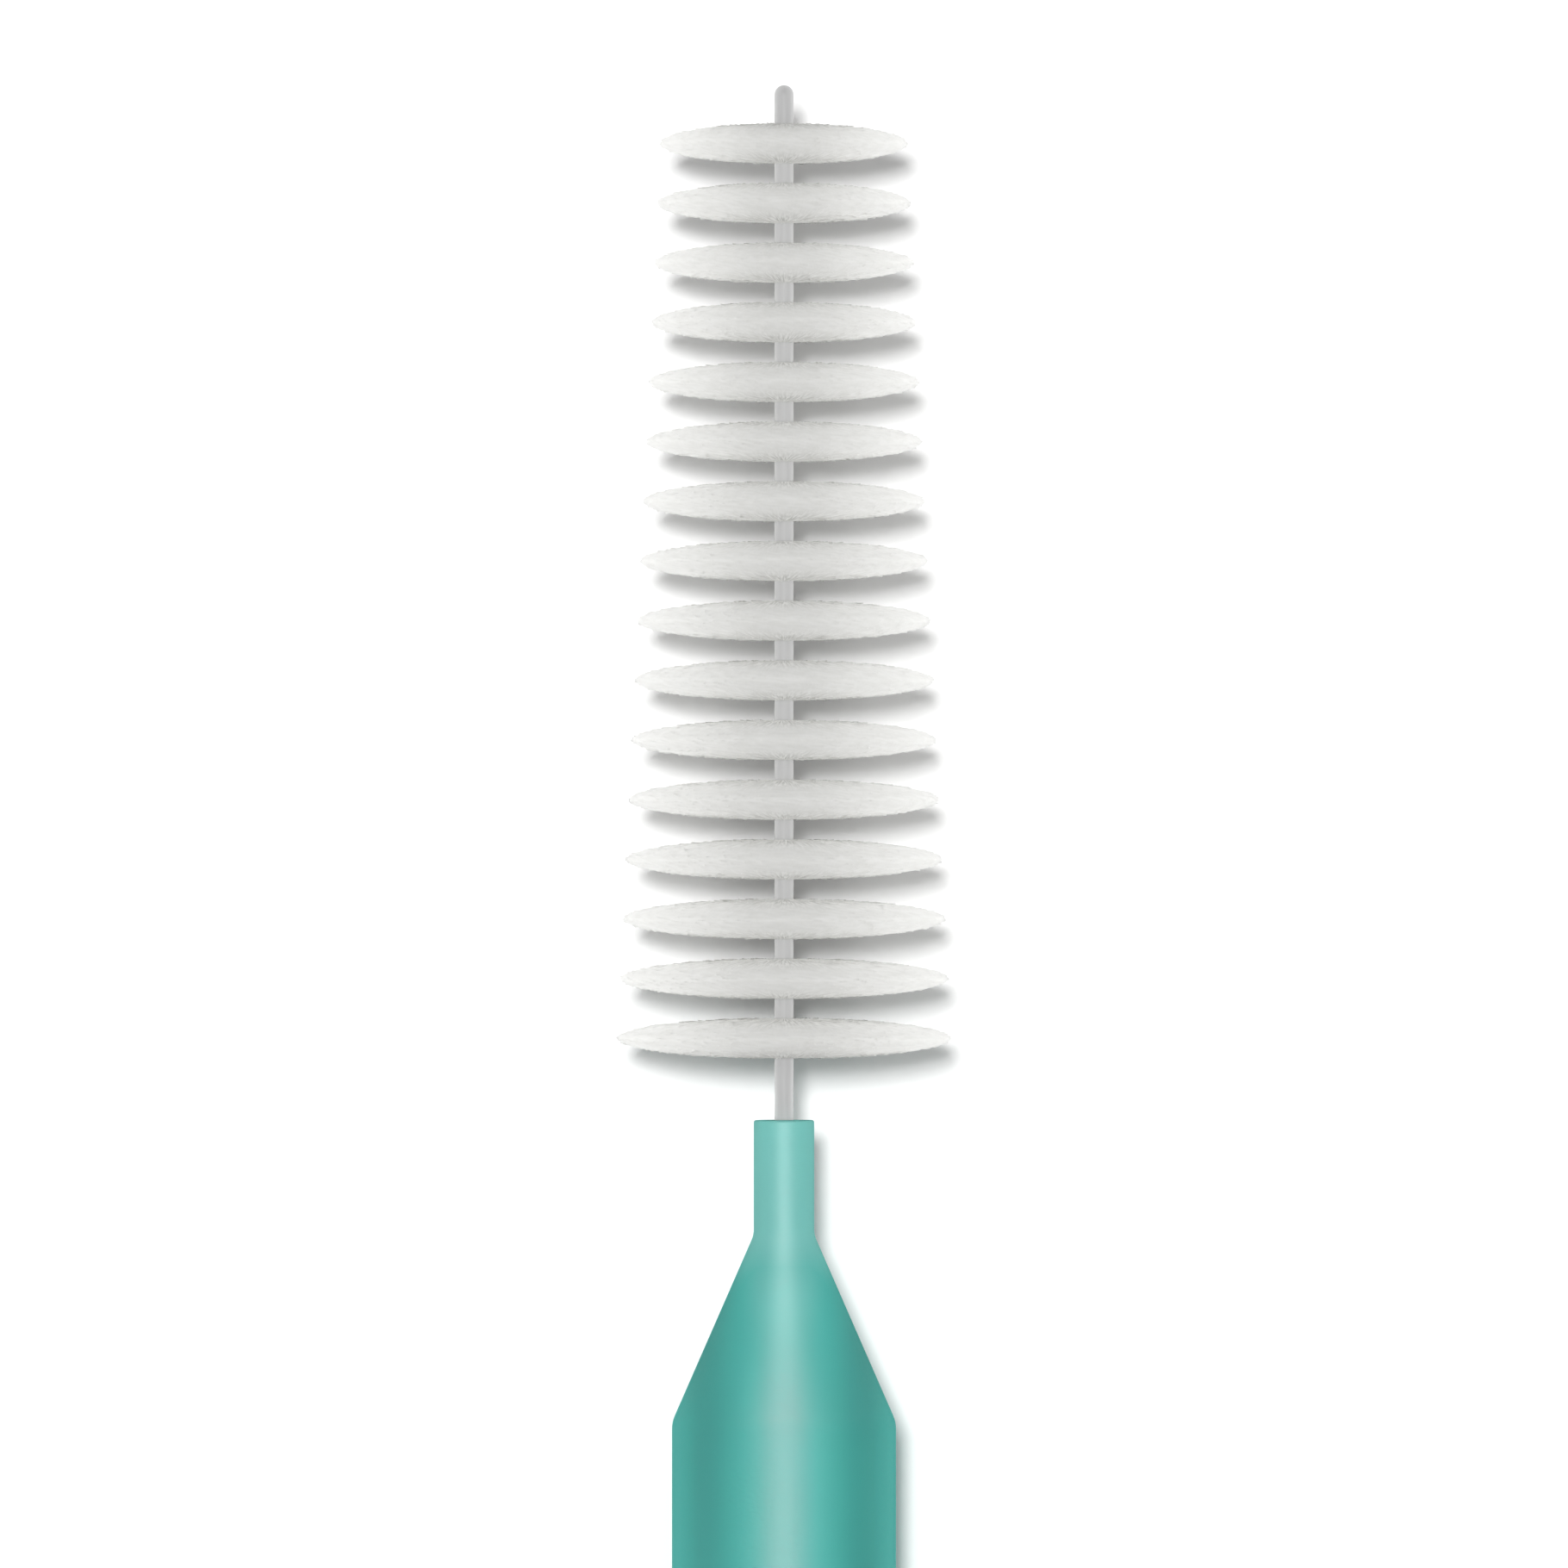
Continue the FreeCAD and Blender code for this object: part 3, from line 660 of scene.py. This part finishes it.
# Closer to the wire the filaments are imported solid: a lens of the same nylon, just inside the tips.
ball = add_node(tree, "GeometryNodeMeshUVSphere", {"Segments": 120, "Rings": 40, "Radius": 1.0})
core_radius = add_node(tree, "ShaderNodeMath", {
    0: given["Whorl Radius"], 1: given["Packed Share"]}, operation="MULTIPLY")
core_height = add_node(tree, "ShaderNodeMath", {
    0: given["Half Thickness"], 1: given["Packed Share"]}, operation="MULTIPLY")
core_size = add_node(tree, "ShaderNodeCombineXYZ", {"X": core_radius, "Y": core_radius, "Z": core_height})
lens = add_node(tree, "GeometryNodeTransform", {"Geometry": ball, "Scale": core_size})
upright = add_node(tree, "GeometryNodeTransform", {"Geometry": lens, "Rotation": (math.pi / 2, 0, 0)})
speckle = add_node(tree, "FunctionNodeRandomValue", {2: 0.0, 3: 1.0, "Seed": given["Seed"]})
packed = add_node(tree, "GeometryNodeStoreNamedAttribute", {
    "Geometry": upright, "Name": "filament_shade", "Value": speckle.outputs[1]},
    data_type="FLOAT", domain="POINT")
spot = add_node(tree, "GeometryNodeInputPosition")
across = add_node(tree, "ShaderNodeVectorMath", {0: spot, 1: (1, 0, 1)}, operation="MULTIPLY")
core_way = add_node(tree, "ShaderNodeVectorMath", {0: across}, operation="NORMALIZE")
out_by = add_node(tree, "ShaderNodeVectorMath", {0: across}, operation="LENGTH")
reach_share = add_node(tree, "ShaderNodeMath", {
    0: out_by.outputs["Value"], 1: given["Whorl Radius"]}, operation="DIVIDE")
packed = add_node(tree, "GeometryNodeStoreNamedAttribute", {
    "Geometry": packed, "Name": "filament_way", "Value": core_way},
    data_type="FLOAT_VECTOR", domain="POINT")
both = add_node(tree, "GeometryNodeJoinGeometry", {"Geometry": real})
tree.links.new(packed.outputs[0], both.inputs[0])
both = add_node(tree, "GeometryNodeStoreNamedAttribute", {
    "Geometry": both, "Name": "reach_share", "Value": reach_share}, data_type="FLOAT", domain="POINT")
lean = add_node(tree, "GeometryNodeInputNamedAttribute", {"Name": "lean"}, data_type="FLOAT_VECTOR")
along = add_node(tree, "GeometryNodeInputNamedAttribute", {"Name": "along_filament"}, data_type="FLOAT")
curl = add_node(tree, "ShaderNodeMath", {0: along, 1: 2.0}, operation="POWER")
sway = add_node(tree, "ShaderNodeMath", {0: curl, 1: given["Lean"]}, operation="MULTIPLY")
drift = add_node(tree, "ShaderNodeVectorMath", {0: lean, 3: sway}, operation="SCALE")
put = add_node(tree, "ShaderNodeVectorMath", {0: drift, 1: given["Centre"]}, operation="ADD")
placed = add_node(tree, "GeometryNodeSetPosition", {"Geometry": both, "Offset": put})
# Light wanders between packed filaments and evens out, so the normals lean to the way the filaments point.
way = add_node(tree, "GeometryNodeInputNamedAttribute", {"Name": "filament_way"}, data_type="FLOAT_VECTOR")
own = add_node(tree, "GeometryNodeInputNormal")
leant_normal = add_node(tree, "ShaderNodeMix", {0: given["Softness"], 4: own, 5: way}, data_type="VECTOR")
unit = add_node(tree, "ShaderNodeVectorMath", {0: leant_normal.outputs[1]}, operation="NORMALIZE")
softened = add_node(tree, "GeometryNodeSetMeshNormal", {"Mesh": placed, "Custom Normal": unit}, mode="FREE")
finished = add_node(tree, "GeometryNodeSetMaterial", {"Geometry": softened, "Material": given["Material"]})
add_node(tree, "NodeGroupOutput", {"Geometry": finished})
whorl_tree = tree

# %% Sixteen whorls on the frame's sizes
filaments_per_mm = 400
first_seed = 11
tier_nodes = sorted(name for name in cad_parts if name.startswith("bristle_tier"))
bristle_faces = 0
whorls = []
for order, node in enumerate(tier_nodes):
    low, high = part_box(node)
    whorl_radius = (high.x - low.x) / 2
    name = node.replace("tier", "whorl")
    whorl_mesh = grown_mesh(name, whorl_tree, {
        "Count": int(filaments_per_mm * 2 * whorl_radius / MM), "Whorl Radius": whorl_radius,
        "Half Thickness": (high.y - low.y) / 2, "Root Radius": 0.7 * coat_radius, "Packed Share": 0.988,
        "Filament Radius": 0.028 * MM, "Lean": 0.012 * MM, "Softness": 0.85,
        "Centre": (0, (low.y + high.y) / 2, axis_height), "Seed": first_seed + order,
        "Material": bristle_nylon})
    whorl = add_piece(name, whorl_mesh, bristle_nylon)
    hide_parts(node)
    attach(whorl, "brush_head")
    whorls.append(whorl)
    bristle_faces += len(whorl_mesh.polygons)
print(f"{len(tier_nodes)} whorls, {bristle_faces} faces in all")

# %% [markdown]
# ## Table and light
# The brush lies on a plain white table that fills the picture. One lamp for all would clip the white table
# or leave the teal handle dull. Light linking lets each lamp light only some pieces, so each material gets
# its own plain level. The table's lamp stands almost straight above, a little to the upper left, and throws
# the short soft shadows to the lower right. Level lamps at both sides brighten the ends of the whorls.
# Strips that show only in reflections draw the stripe along the satin handle. The sky is white to the
# camera and in reflections, and lights the pieces only a little.

# %% White table
table_material, tree = new_material("white_laminate_table")
place = add_node(tree, "ShaderNodeTexCoord")
cloud = add_node(tree, "ShaderNodeTexNoise", {"Vector": place.outputs["Object"], "Scale": 1 / (30 * MM)})
paint = add_node(tree, "ShaderNodeMix", {
    0: cloud, 6: linear("#FBFBFB"), 7: linear("#FEFEFE")}, data_type="RGBA")
laminate = add_node(tree, "ShaderNodeBsdfDiffuse", {"Color": paint.outputs[2]})
add_node(tree, "ShaderNodeOutputMaterial", {"Surface": laminate})
table_mesh = bpy.data.meshes.new("table")
table_reach, table_drop = 3.0, 0.02 * MM
corners = [(right * table_reach, ahead * table_reach, -table_drop)
           for right, ahead in ((-1, -1), (1, -1), (1, 1), (-1, 1))]
table_mesh.from_pydata(corners, [], [(0, 1, 2, 3)])
table_mesh.materials.append(table_material)
table = bpy.data.objects.new("table", table_mesh)
scene.collection.objects.link(table)

# %% Sky and lamps
world = bpy.data.worlds.new("studio")
scene.world = world
world.use_nodes = True
tree = world.node_tree
tree.nodes.clear()
light_given, white_seen = 0.12, 1.0
ray = add_node(tree, "ShaderNodeLightPath").outputs
seen = add_node(tree, "ShaderNodeMath", {
    0: ray["Is Camera Ray"], 1: ray["Is Glossy Ray"]}, operation="MAXIMUM")
seen = add_node(tree, "ShaderNodeMath", {0: seen, 1: ray["Is Transmission Ray"]}, operation="MAXIMUM")
level = add_node(tree, "ShaderNodeMapRange", {0: seen, 3: light_given, 4: white_seen})
sky = add_node(tree, "ShaderNodeBackground", {"Color": (1, 1, 1, 1), "Strength": level})
add_node(tree, "ShaderNodeOutputWorld", {"Surface": sky})

aim = Vector((0, mouth_y + frame_centre_beyond_mouth, axis_height))
lamp_distance = 1.0


def add_lamp(name, direction, size, share, lit):
    """A soft box facing the brush, which gives white surfaces of the lit pieces this share of white."""
    data = bpy.data.lights.new(name, "AREA")
    data.shape = "RECTANGLE"
    data.size, data.size_y = size
    # At distance d a lamp of power P lights a facing surface with P / (pi d squared), and pi is white.
    data.energy = share * math.pi**2 * lamp_distance**2
    lamp = bpy.data.objects.new(name, data)
    towards = Vector(direction).normalized()
    lamp.location = aim + towards * lamp_distance
    lamp.rotation_euler = (-towards).to_track_quat("-Z", "Y").to_euler()
    lamp.visible_camera = False
    scene.collection.objects.link(lamp)
    # Light linking: the lamp lights the pieces in this collection and no others.
    receivers = bpy.data.collections.new(name + "_lights")
    for piece in lit:
        receivers.objects.link(piece)
    lamp.light_linking.receiver_collection = receivers
    return lamp


wire = [coat, strand_piece]
above, upper_left = (0, 0, 1), (-0.055, 0.100, 1)
# Sizes of the soft boxes in metres, across and along the brush.
key_box, small_box, sky_box = (0.45, 0.10), (0.12, 0.12), (1.6, 1.6)
side_box, strip_box = (0.5, 0.5), (0.45, 0.40)
add_lamp("key_on_handle", above, key_box, 0.75, [handle])
add_lamp("key_on_wire", above, key_box, 0.80, wire)
add_lamp("key_on_whorls", above, key_box, 0.49, whorls)
add_lamp("key_on_table", upper_left, small_box, 0.84, [table])
add_lamp("fill_on_table", above, sky_box, 0.36, [table])
# Level light from both sides brightens the ends of the whorls and the sides of the handle.
for side, word in ((-1, "left"), (1, "right")):
    for name, share, lit in (("on_whorls_", 0.97, wire + whorls), ("on_handle_", 0.32, [handle])):
        lamp = add_lamp(name + word, (side, 0, 0.07), side_box, share, lit)
        lamp.visible_glossy = False
# Strips that show only in reflections stand in an arch over the brush. The brightest stands where the cone
# mirrors it upwards, so the stripe runs on from the shank over the cone to the collar.
for lean, share in ((-46, 1.5), (-23, 1.9), (0, 3.4), (23, 2.5), (46, 5.6)):
    towards = (0, math.sin(math.radians(lean)), math.cos(math.radians(lean)))
    strip = add_lamp(f"strip_at_{lean}", towards, strip_box, share, [handle])
    strip.visible_diffuse = False
